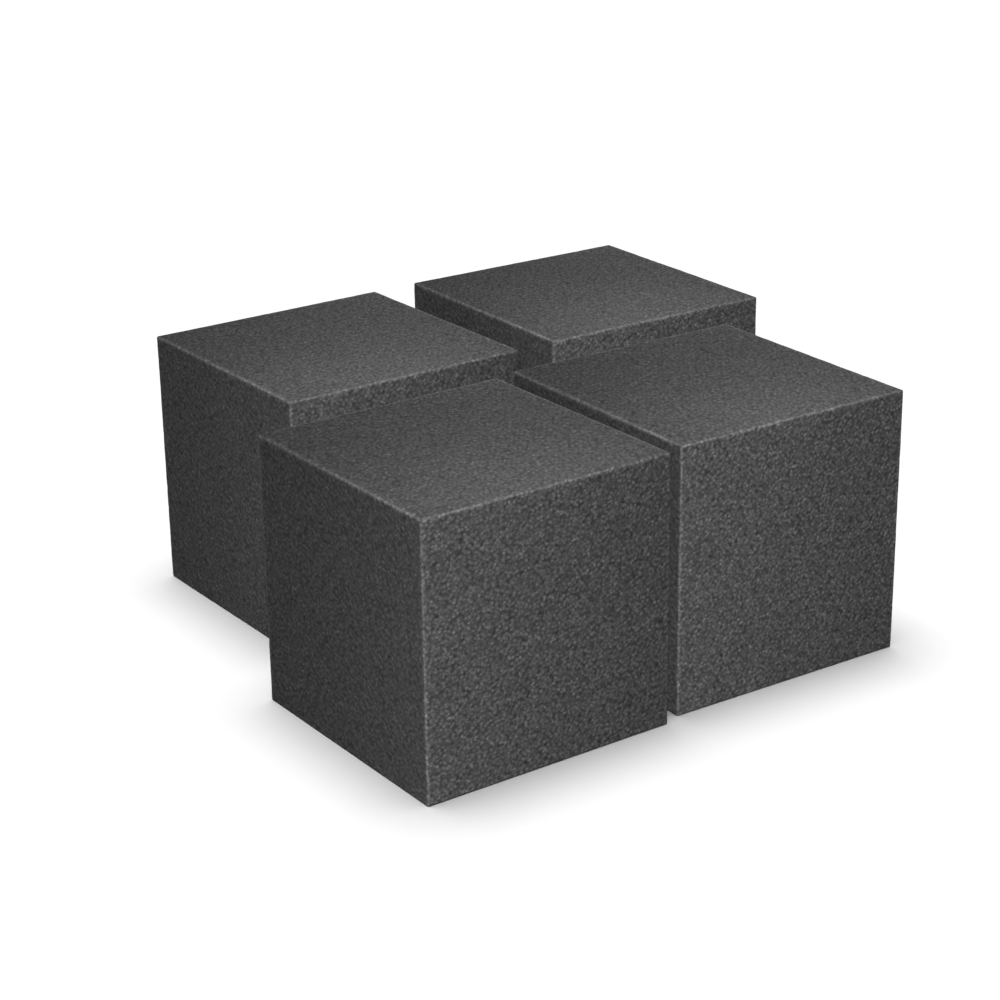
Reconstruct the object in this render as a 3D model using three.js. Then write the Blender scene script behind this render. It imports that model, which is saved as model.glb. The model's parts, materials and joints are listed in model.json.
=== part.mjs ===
// Corner bass trap: a set of four solid blocks of open-cell acoustic foam, standing free on a floor.
// In use each block is glued into a room's corner, with two upright faces on the walls.
// Millimetres, +Z up, front towards -Y. The origin is on the floor, under the middle of the set.

import * as THREE from 'three';
import { RoundedBoxGeometry } from 'three/addons/geometries/RoundedBoxGeometry.js';

// One block, cut in one piece: a cube of one foot.
const BLOCK_WIDTH = 304.8;
const BLOCK_DEPTH = 304.8;
const BLOCK_HEIGHT = 304.8;

// Soft foam holds no knife edge, so each edge and corner of a block is slightly round.
const EDGE_RADIUS = 2;
const EDGE_STEPS = 3; // facets from a face to the middle of its edge

// Clear widths between the outlines of the blocks, seen from above.
const FRONT_GAP = 19;
const REAR_GAP = 50;
const ROW_GAP = 52;

// The rear row starts further right than the front row, and its left block stands back in it.
const REAR_ROW_SHIFT = 78.5;
const REAR_LEFT_SETBACK = 6;

// The right-hand blocks are set down a little askew. Positive turns are anticlockwise from above.
const RIGHT_BLOCK_TURN = THREE.MathUtils.degToRad( - 1.5 );

const FOAM = { color: 0x505050, roughness: 1, metalness: 0 };

// Half the size of a turned block's outline: its straight sides swing round, and its edges stay round.
function halfOutline( turn ) {

	const straightWidth = BLOCK_WIDTH / 2 - EDGE_RADIUS;
	const straightDepth = BLOCK_DEPTH / 2 - EDGE_RADIUS;
	const along = Math.abs( Math.cos( turn ) );
	const across = Math.abs( Math.sin( turn ) );

	return {
		x: straightWidth * along + straightDepth * across + EDGE_RADIUS,
		y: straightWidth * across + straightDepth * along + EDGE_RADIUS,
	};

}

// Stands blocks in a row from left to right, each one's outline a gap past the one before.
function rowOfBlocks( { left, front, gap, blocks } ) {

	let nextLeft = left;

	return blocks.map( ( { name, turn = 0, setback = 0 } ) => {

		const half = halfOutline( turn );
		const x = nextLeft + half.x;
		const y = front + setback + half.y;
		nextLeft = x + half.x + gap;

		return { name, turn, x, y, half };

	} );

}

// The block itself, a solid of foam with flat faces.
function foamBlock( { name, turn, x, y } ) {

	const geometry = new RoundedBoxGeometry( BLOCK_WIDTH, BLOCK_DEPTH, BLOCK_HEIGHT, EDGE_STEPS, EDGE_RADIUS );
	const block = new THREE.Mesh( geometry, new THREE.MeshStandardMaterial( FOAM ) );
	block.name = name;
	block.position.set( x, y, BLOCK_HEIGHT / 2 );
	block.rotation.z = turn;

	return block;

}

const frontRow = rowOfBlocks( {
	left: 0,
	front: 0,
	gap: FRONT_GAP,
	blocks: [
		{ name: 'front_left_block' },
		{ name: 'front_right_block', turn: RIGHT_BLOCK_TURN },
	],
} );

const frontRowBack = Math.max( ...frontRow.map( ( { y, half } ) => y + half.y ) );

const rearRow = rowOfBlocks( {
	left: REAR_ROW_SHIFT,
	front: frontRowBack + ROW_GAP,
	gap: REAR_GAP,
	blocks: [
		{ name: 'rear_left_block', setback: REAR_LEFT_SETBACK },
		{ name: 'rear_right_block', turn: RIGHT_BLOCK_TURN },
	],
} );

// The middle of the set's outline along one axis.
function middle( blocks, axis ) {

	const lowest = Math.min( ...blocks.map( ( block ) => block[ axis ] - block.half[ axis ] ) );
	const highest = Math.max( ...blocks.map( ( block ) => block[ axis ] + block.half[ axis ] ) );

	return ( lowest + highest ) / 2;

}

const blocks = [ ...frontRow, ...rearRow ];

const bassTrapSet = new THREE.Group();
bassTrapSet.position.set( - middle( blocks, 'x' ), - middle( blocks, 'y' ), 0 );
bassTrapSet.add( ...blocks.map( foamBlock ) );

export default bassTrapSet;
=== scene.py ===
"""Four solid blocks of charcoal acoustic foam, standing on a pale floor.

Metres, +Z up, front towards -Y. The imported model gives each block's place and size, and its flat faces
give its turn.
"""

import json
import math

import bpy
import numpy as np
from mathutils import Euler, Matrix, Vector, noise


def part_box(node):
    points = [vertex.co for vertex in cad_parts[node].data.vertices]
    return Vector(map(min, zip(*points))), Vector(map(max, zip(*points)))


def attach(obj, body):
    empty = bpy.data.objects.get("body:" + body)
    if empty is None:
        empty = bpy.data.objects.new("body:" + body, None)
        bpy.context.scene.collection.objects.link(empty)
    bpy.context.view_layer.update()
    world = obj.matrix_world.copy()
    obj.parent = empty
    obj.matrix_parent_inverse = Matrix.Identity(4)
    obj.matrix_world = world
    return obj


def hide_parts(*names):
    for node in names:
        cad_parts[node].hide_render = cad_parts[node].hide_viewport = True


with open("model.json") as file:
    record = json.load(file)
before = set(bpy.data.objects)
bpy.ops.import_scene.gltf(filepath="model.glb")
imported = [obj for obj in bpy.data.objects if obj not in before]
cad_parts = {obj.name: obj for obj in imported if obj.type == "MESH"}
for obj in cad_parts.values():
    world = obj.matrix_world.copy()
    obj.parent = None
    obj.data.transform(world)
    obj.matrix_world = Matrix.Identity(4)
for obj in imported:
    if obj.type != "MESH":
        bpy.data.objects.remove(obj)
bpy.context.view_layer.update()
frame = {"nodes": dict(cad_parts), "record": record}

MM = 0.001
UP = Vector((0, 0, 1))
QUARTER_TURN = math.pi / 2

# The camera: an 86 mm lens on a square 36 mm sensor.
CAMERA_PLACE = (-1.5190, -2.0938, 1.1366)
CAMERA_HEADING = math.radians(-35.197)  # anticlockwise from +Y
CAMERA_PITCH = math.radians(-21.200)
CAMERA_ROLL = math.radians(-0.817)
CAMERA_LENS_MM = 86.4
SENSOR_MM = 36.0

# The light: an even pale studio, and three soft lamps for each block, which light that block alone.
# The photograph is put together from shots of one block, and the light falls off alike on each.
# A lamp's place is measured from the middle of its block, along the block's own sides.
STUDIO_STRENGTH = 0.216
OVER_LAMP_PLACE = Vector((-0.031, -0.192, 0.451))
OVER_LAMP_SIZE = (0.30, 0.03)
OVER_LAMP_WATTS = 1.07
FRONT_LAMP_PLACE = Vector((-0.681, -0.963, 0.000))
FRONT_LAMP_WATTS = 8.4
BACK_LAMP_PLACE = Vector((0.514, 0.505, 0.421))
BACK_LAMP_WATTS = 5.04
UPRIGHT_LAMP_SIZE = (0.10, 0.30)

# The floor has a lamp of its own, nearly overhead, which keeps the blocks' shadow close to them.
FLOOR_LAMP_STRENGTH = 4.8
FLOOR_LAMP_SPREAD = math.radians(32)
FLOOR_LAMP_TOWARDS = Vector((0.010, -0.045, -1))
FLOOR_REACH = 12.0
FLOOR_DROP = 0.1 * MM  # keeps the floor just clear of the blocks' bases
FLOOR_WHITE = 0.60  # as the camera sees it
FLOOR_BOUNCE = 0.08  # as it throws light back on the blocks

# The grid on a block's six faces.
GRID_CELLS = 128
ARC_CELLS = 3  # cells from a face to the middle of its round edge
HALF_ARC = math.pi / 4
SHOULDER = 1.2 * MM  # the one narrow cell between a face's even cells and its edge
EVEN_CELLS = GRID_CELLS / 2 - ARC_CELLS - 1  # from the middle of a face to its shoulder

# The six faces' maps lie in rows of three, each with a margin round it.
MAP_COLUMNS = 3
MAP_ROWS = 2
MAP_MARGIN = 0.005

# The round of the edges, which the cut leaves a little uneven.
EDGE_RADIUS = 2.5 * MM
EDGE_WANDER = 0.7 * MM
EDGE_WAVE = 22 * MM
NICK_DEPTH = 0.6 * MM
NICK_WAVE = 9 * MM
NICK_LEVEL = 0.25  # the noise below which an edge is whole
WEAR_AND_HIGHLIGHT_REACH = 2.8 * MM  # how far from an edge the pale band reaches: scuffed wear and a painted highlight
WEAR_AND_HIGHLIGHT_STATIONS = (-1.0, -0.9, 0.9, 1.0)  # from a block's front to its rear
WEAR_AND_HIGHLIGHT_SHARES = (0.46, 1.0, 1.0, 1.3)  # how strong the edges' wear and painted highlight are there; the painted highlight is weaker at the front and stronger at the rear

# The foam rose level, at a slant to the cuts, so its cells are longer that way.
# A face that lies across the rise is coarser than one that lies along it.
RISE_HEADING = math.radians(-35)  # anticlockwise from +Y
CELL_STRETCH = 1.6
GRAIN_TURN = Euler((0.6, 0.5, 0.4))  # turns the noise's own grid off the faces
COARSE_SHARES = (0.72, 1.0, 0.65)  # of the faces at the sides, front and back, and top

# The saw's long waves in a face, and the torn cells that stand out of it.
SAW_DEPTH = 0.5 * MM
SAW_WAVE = 130 * MM
CELL_DEPTH = 0.25 * MM
CELL_WAVE = 6.0 * MM

# Each noise of a block has its own seed: the block's number, from 1 to 4, and one of these steps.
NICK_SEED_STEP = 4
SAW_SEED_STEP = 8
CELL_SEED_STEP = 12
SEED_SHIFT = np.array([17.3, 41.9, 73.1])  # in waves, from one seed's noise to the next one's

# The foam's finish: pale tufts on soft grain, bolder in some patches than in others, and fine grain.
FOAM_GREY = 0.080
# How much paler the edges are: a painted highlight, which also stands for scuffed wear.
EDGE_HIGHLIGHT_AND_WEAR = 1.05
GRAIN_SIZE = 3.8 * MM
CELL_DISORDER = 0.75  # 0 sets the cells in rows, 1 scatters them
TUFT_SHARE = 1.3
TUFT_MIDDLE = 0.53  # the mean distance to a cell's middle, in cells
PATCH_SIZE = 7 * MM
PATCH_SWING = 1.3
FINE_SIZE = 1.8 * MM
FINE_SHARE = 0.7
BLOTCH_SIZE = 45 * MM
BLOTCH_DETAIL = 1.0
BLOTCH_CONTRAST = 0.10
GRAIN_CONTRAST = 1.02
GRAIN_BUMP = 0.25 * MM


def block_frame(name):
    """Where a block's middle is and how it is turned, from its node's box and an upright flat face."""
    low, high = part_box(name)
    prefix = name.removesuffix("block")
    mounts = [mount for mount in frame["record"]["mounts"] if mount["name"].startswith(prefix)]
    upright = [mount["axis"] for mount in mounts if mount["axis"][2] == 0]
    x, y, _ = upright[0]
    turn = (math.atan2(y, x) + QUARTER_TURN / 2) % QUARTER_TURN - QUARTER_TURN / 2
    return Matrix.Translation((low + high) / 2) @ Matrix.Rotation(turn, 4, "Z")


def unstretched():
    """Turns a place into one where the foam's stretched cells are round."""
    turn = Matrix.Rotation(RISE_HEADING, 3, "Z")
    return GRAIN_TURN.to_matrix() @ Matrix.Diagonal((1, 1 / CELL_STRETCH, 1)) @ turn.transposed()


def noise_at(points, wave, seed):
    """Smooth noise, from about -1 to 1, that swings once in every wave or so."""
    return np.array([noise.noise(p) for p in (points / wave + SEED_SHIFT * seed).tolist()])


def surface_lattice():
    """The grid on the six faces of a cube, in whole steps along each axis.

    Returns the points, the squares as rows of four point numbers, each square's face as (axis, side) and
    each square's four corners as steps.
    """
    n = GRID_CELLS
    steps = np.arange(n + 1)
    first, second = (g.ravel() for g in np.meshgrid(steps, steps, indexing="ij"))
    corner = (first * (n + 1) + second).reshape(n + 1, n + 1)
    lower, upper = corner[:-1], corner[1:]
    ring = np.stack([lower[:, :-1], upper[:, :-1], upper[:, 1:], lower[:, 1:]], -1).reshape(-1, 4)
    sheets, squares, faces = [], [], []
    for axis in range(3):
        for side in (0, 1):
            sheet = np.empty((first.size, 3), int)
            sheet[:, axis] = side * n
            sheet[:, (axis + 1) % 3] = first
            sheet[:, (axis + 2) % 3] = second
            squares.append((ring if side else ring[:, ::-1]) + len(sheets) * first.size)
            faces.append(np.full((len(ring), 2), (axis, side)))
            sheets.append(sheet)
    every = np.concatenate(sheets)
    points, number = np.unique(every, axis=0, return_inverse=True)
    squares = np.concatenate(squares)
    return points, number.reshape(-1)[squares], np.concatenate(faces), every[squares]


LATTICE = surface_lattice()


def smooth_block(half, seed):
    """A block with flat faces and unevenly round edges, about its own middle.

    Returns its points, their outward directions, and the points of the same block with sharp edges.
    """
    steps = LATTICE[0] - GRID_CELLS / 2
    side = np.sign(steps)
    even = np.clip(abs(steps) / EVEN_CELLS, 0, 1) * side
    shoulder = np.clip(abs(steps) - EVEN_CELLS, 0, 1) * side
    arc = np.clip((abs(steps) - EVEN_CELLS - 1) / ARC_CELLS, 0, 1) * side
    outward = np.tan(arc * HALF_ARC)
    outward /= np.linalg.norm(outward, axis=1)[:, None]
    sharp = even * half
    radius = EDGE_RADIUS + EDGE_WANDER * noise_at(sharp, EDGE_WAVE, seed)[:, None]
    points = even * (half - radius - SHOULDER) + shoulder * SHOULDER + radius * outward
    return points, outward, sharp


def edge_wear_and_highlight(points, half):
    """How much edge wear and painted highlight each point gets. A point on an edge is close to two
    faces.
    """
    to_faces = half - abs(points)
    to_faces[points[:, 2] < 0, 2] = half[2]  # the edges that stand on the floor get no wear or painted highlight, as they lie in shade
    worn = np.exp(-(np.sort(to_faces, axis=1)[:, 1] / WEAR_AND_HIGHLIGHT_REACH) ** 2)
    # The painted highlight on the edges is weaker at the block's front and stronger at its rear.
    return worn * np.interp(points[:, 1] / half[1], WEAR_AND_HIGHLIGHT_STATIONS, WEAR_AND_HIGHLIGHT_SHARES)


def foam_surface(size, seed):
    """A block's points about its own middle, how much edge wear and painted highlight each one gets, and
    how coarse the foam is there.
    """
    half = np.array(size) / 2
    points, outward, sharp = smooth_block(half, seed)
    worn = edge_wear_and_highlight(points, half)
    coarse = outward**2 @ COARSE_SHARES

    nicks = np.clip(noise_at(sharp, NICK_WAVE, seed + NICK_SEED_STEP) - NICK_LEVEL, 0, None)
    saw = (1 + noise_at(sharp, SAW_WAVE, seed + SAW_SEED_STEP)) / 2
    cells = (1 + noise_at(sharp @ np.array(unstretched()).T, CELL_WAVE, seed + CELL_SEED_STEP)) / 2
    depth = NICK_DEPTH * nicks * worn + SAW_DEPTH * saw + CELL_DEPTH * cells * coarse
    above_base = 1 - np.clip(-outward[:, 2], 0, 1)
    points -= outward * (depth * above_base)[:, None]
    return points, worn, coarse


def add_bake_map(mesh):
    """Lays the maps of the six faces side by side."""
    _, _, faces, corners = LATTICE
    axis, side = faces[:, :1], faces[:, 1:]
    squares = np.arange(len(faces))[:, None]
    four = np.arange(4)[None]
    across = corners[squares, four, (axis + 1) % 3] / GRID_CELLS
    along = corners[squares, four, (axis + 2) % 3] / GRID_CELLS
    across_margin = MAP_MARGIN * MAP_COLUMNS
    along_margin = MAP_MARGIN * MAP_ROWS
    u = (axis + across_margin + across * (1 - 2 * across_margin)) / MAP_COLUMNS
    v = (side + along_margin + along * (1 - 2 * along_margin)) / MAP_ROWS
    layer = mesh.uv_layers.new(name="OFBake")
    layer.data.foreach_set("uv", np.stack([u, v], -1).ravel())


def foam_block(name, size, seed, material):
    """One block, cut in one piece, in the place of its node."""
    points, worn, coarse = foam_surface(size, seed)
    mesh = bpy.data.meshes.new(name + "_foam")
    mesh.from_pydata(points.tolist(), [], LATTICE[1].tolist())
    mesh.transform(block_frame(name))
    # The edges' wear and painted highlight, for the material.
    mesh.attributes.new("worn", "FLOAT", "POINT").data.foreach_set("value", worn)
    mesh.attributes.new("coarse", "FLOAT", "POINT").data.foreach_set("value", coarse)
    add_bake_map(mesh)
    mesh.shade_smooth()
    mesh.materials.append(material)
    mesh.validate()
    piece = bpy.data.objects.new(name + "_foam", mesh)
    bpy.context.scene.collection.objects.link(piece)
    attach(piece, "root")
    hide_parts(name)
    return piece


class Shader:
    """A node tree that is built one named step at a time."""

    def __init__(self, owner):
        owner.use_nodes = True
        self.tree = owner.node_tree
        self.tree.nodes.clear()

    def node(self, kind, sockets=None, **settings):
        """Adds a node. Each socket gets a value, or a link where the value is another node's output."""
        made = self.tree.nodes.new("ShaderNode" + kind)
        for setting, value in settings.items():
            setattr(made, setting, value)
        for socket, value in (sockets or {}).items():
            if isinstance(value, bpy.types.NodeSocket):
                self.tree.links.new(value, made.inputs[socket])
            else:
                made.inputs[socket].default_value = value
        return made

    def math(self, operation, first, second=0.0, third=0.0):
        """One step of arithmetic, on up to three values."""
        return self.node("Math", {0: first, 1: second, 2: third}, operation=operation).outputs[0]

    def noise(self, place, size, detail=0.0):
        """Smooth noise about zero, from about -0.5 to 0.5."""
        made = self.node("TexNoise", {"Vector": place, "Scale": 1 / size, "Detail": detail})
        return self.math("SUBTRACT", made.outputs[0], 0.5)

    def grey(self, value):
        """A neutral colour of that value."""
        return self.node("CombineColor", {"Red": value, "Green": value, "Blue": value}).outputs[0]


def foam_relief(s, object_place, place, coarse):
    """How far the torn cells stand out, about zero. The place is the unstretched one."""
    sockets = {"Vector": place, "Scale": 1 / GRAIN_SIZE, "Randomness": CELL_DISORDER}
    cells = s.node("TexVoronoi", sockets, feature="F1").outputs["Distance"]
    tufts = s.math("MULTIPLY_ADD", cells, -TUFT_SHARE, TUFT_SHARE * TUFT_MIDDLE)
    relief = s.math("ADD", tufts, s.noise(place, GRAIN_SIZE))
    bolder = s.math("MULTIPLY_ADD", s.noise(place, PATCH_SIZE), PATCH_SWING, 1.0)
    relief = s.math("MULTIPLY", relief, bolder)
    relief = s.math("MULTIPLY_ADD", s.noise(object_place, FINE_SIZE), FINE_SHARE, relief)
    return s.math("MULTIPLY", relief, coarse)


def foam_material():
    """Torn open cells: pale tufts between dark pores, a little mottled, and paler on the edges, with
    scuffed wear and a painted highlight.
    """
    material = bpy.data.materials.new("charcoal_foam")
    s = Shader(material)
    object_place = s.node("TexCoord").outputs["Object"]
    rows = [{0: object_place, 1: row} for row in unstretched()]
    turned = [s.node("VectorMath", sockets, operation="DOT_PRODUCT") for sockets in rows]
    place = s.node("CombineXYZ", {i: row.outputs["Value"] for i, row in enumerate(turned)}).outputs[0]
    worn = s.node("Attribute", attribute_name="worn").outputs["Fac"]
    coarse = s.node("Attribute", attribute_name="coarse").outputs["Fac"]
    relief = foam_relief(s, object_place, place, coarse)

    tone = s.math("MULTIPLY", relief, GRAIN_CONTRAST)
    blotches = s.noise(object_place, BLOTCH_SIZE, BLOTCH_DETAIL)
    tone = s.math("MULTIPLY_ADD", blotches, BLOTCH_CONTRAST, tone)
    # Paler edges: a painted highlight, partly scuffed wear.
    tone = s.math("MULTIPLY_ADD", worn, EDGE_HIGHLIGHT_AND_WEAR, tone)
    colour = s.grey(s.math("MULTIPLY", s.math("EXPONENT", tone), FOAM_GREY))

    bump = s.node("Bump", {"Height": relief, "Distance": GRAIN_BUMP, "Strength": 1.0}).outputs[0]
    foam = s.node("BsdfPrincipled", {"Base Color": colour, "Roughness": 1.0, "Normal": bump})
    foam.inputs["Specular IOR Level"].default_value = 0.0
    s.node("OutputMaterial", {"Surface": foam.outputs[0]})
    return material


def seen_directly(s):
    """1 for rays from the camera, or that a mirror or a clear pane sends on, and 0 for light."""
    path = s.node("LightPath").outputs
    bounced = s.math("MAXIMUM", path["Is Glossy Ray"], path["Is Transmission Ray"])
    return s.math("MAXIMUM", path["Is Camera Ray"], bounced)


def floor_material():
    """A matt white floor, which keeps its shadow and is white where it is open."""
    material = bpy.data.materials.new("pale_floor")
    s = Shader(material)
    seen = seen_directly(s)
    bounce = s.node("BsdfDiffuse", {"Color": (FLOOR_BOUNCE,) * 3 + (1.0,)})
    white = s.node("BsdfDiffuse", {"Color": (FLOOR_WHITE,) * 3 + (1.0,)})
    mixed = s.node("MixShader", {0: seen, 1: bounce.outputs[0], 2: white.outputs[0]})
    s.node("OutputMaterial", {"Surface": mixed.outputs[0]})
    return material


def make_floor():
    """A wide level floor under the blocks."""
    mesh = bpy.data.meshes.new("floor")
    reach = FLOOR_REACH
    corners = [(-reach, -reach), (reach, -reach), (reach, reach), (-reach, reach)]
    mesh.from_pydata([(x, y, -FLOOR_DROP) for x, y in corners], [], [(0, 1, 2, 3)])
    mesh.materials.append(floor_material())
    floor = bpy.data.objects.new("floor", mesh)
    bpy.context.scene.collection.objects.link(floor)
    return floor


def make_world():
    """An even pale studio, whose walls are white to the eye."""
    world = bpy.data.worlds.new("studio")
    bpy.context.scene.world = world
    s = Shader(world)
    soft = s.node("Background", {"Strength": STUDIO_STRENGTH, "Color": (1.0, 1.0, 1.0, 1.0)})
    white = s.node("Background", {"Strength": 1.0, "Color": (1.0, 1.0, 1.0, 1.0)})
    mixed = s.node("MixShader", {0: seen_directly(s), 1: soft.outputs[0], 2: white.outputs[0]})
    s.node("OutputWorld", {"Surface": mixed.outputs[0]})


def add_lamp(name, kind, energy, place, towards, lit):
    """A lamp that lights one object alone."""
    light = bpy.data.lights.new(name, kind)
    light.energy = energy
    lamp = bpy.data.objects.new(name, light)
    lamp.matrix_world = Matrix.Translation(place) @ towards.to_track_quat("-Z", "Y").to_matrix().to_4x4()
    bpy.context.scene.collection.objects.link(lamp)
    only = bpy.data.collections.new(name + "_lights")
    only.objects.link(lit)
    lamp.light_linking.receiver_collection = only
    return lamp


def add_block_lamp(name, watts, place, towards, size, piece):
    """A soft flat lamp for one block, in whose light nothing else throws a shadow."""
    lamp = add_lamp(name, "AREA", watts, place, towards, piece)
    lamp.data.shape = "RECTANGLE"
    lamp.data.size, lamp.data.size_y = size
    lamp.light_linking.blocker_collection = lamp.light_linking.receiver_collection


def light_block(name, piece):
    """A level lamp over the block's front edge, and upright ones before and behind the block."""
    block = block_frame(name)
    over = block @ OVER_LAMP_PLACE
    add_block_lamp(name + "_over_lamp", OVER_LAMP_WATTS, over, -UP, OVER_LAMP_SIZE, piece)
    for word, place, watts in (
        ("_front_lamp", block @ FRONT_LAMP_PLACE, FRONT_LAMP_WATTS),
        ("_back_lamp", block @ BACK_LAMP_PLACE, BACK_LAMP_WATTS),
    ):
        inward = block.translation - place
        inward.z = 0
        add_block_lamp(name + word, watts, place, inward, UPRIGHT_LAMP_SIZE, piece)


def light_floor(floor):
    """A wide soft lamp almost straight above, for the floor."""
    lamp = add_lamp("floor_lamp", "SUN", FLOOR_LAMP_STRENGTH, UP, FLOOR_LAMP_TOWARDS, floor)
    lamp.data.angle = FLOOR_LAMP_SPREAD


def make_camera():
    """The camera, at the photograph's place."""
    data = bpy.data.cameras.new("camera")
    data.sensor_width = SENSOR_MM
    data.lens = CAMERA_LENS_MM
    camera = bpy.data.objects.new("camera", data)
    turn = Matrix.Rotation(CAMERA_HEADING, 4, "Z") @ Matrix.Rotation(QUARTER_TURN + CAMERA_PITCH, 4, "X")
    turn = turn @ Matrix.Rotation(CAMERA_ROLL, 4, "Z")
    camera.matrix_world = Matrix.Translation(CAMERA_PLACE) @ turn
    bpy.context.scene.collection.objects.link(camera)
    bpy.context.scene.camera = camera


make_camera()
make_world()
light_floor(make_floor())
foam = foam_material()
block_low, block_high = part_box("front_left_block")
block_size = block_high - block_low
for seed, name in enumerate(sorted(frame["nodes"]), start=1):
    light_block(name, foam_block(name, block_size, seed, foam))
bpy.context.scene.view_settings.view_transform = "Standard"
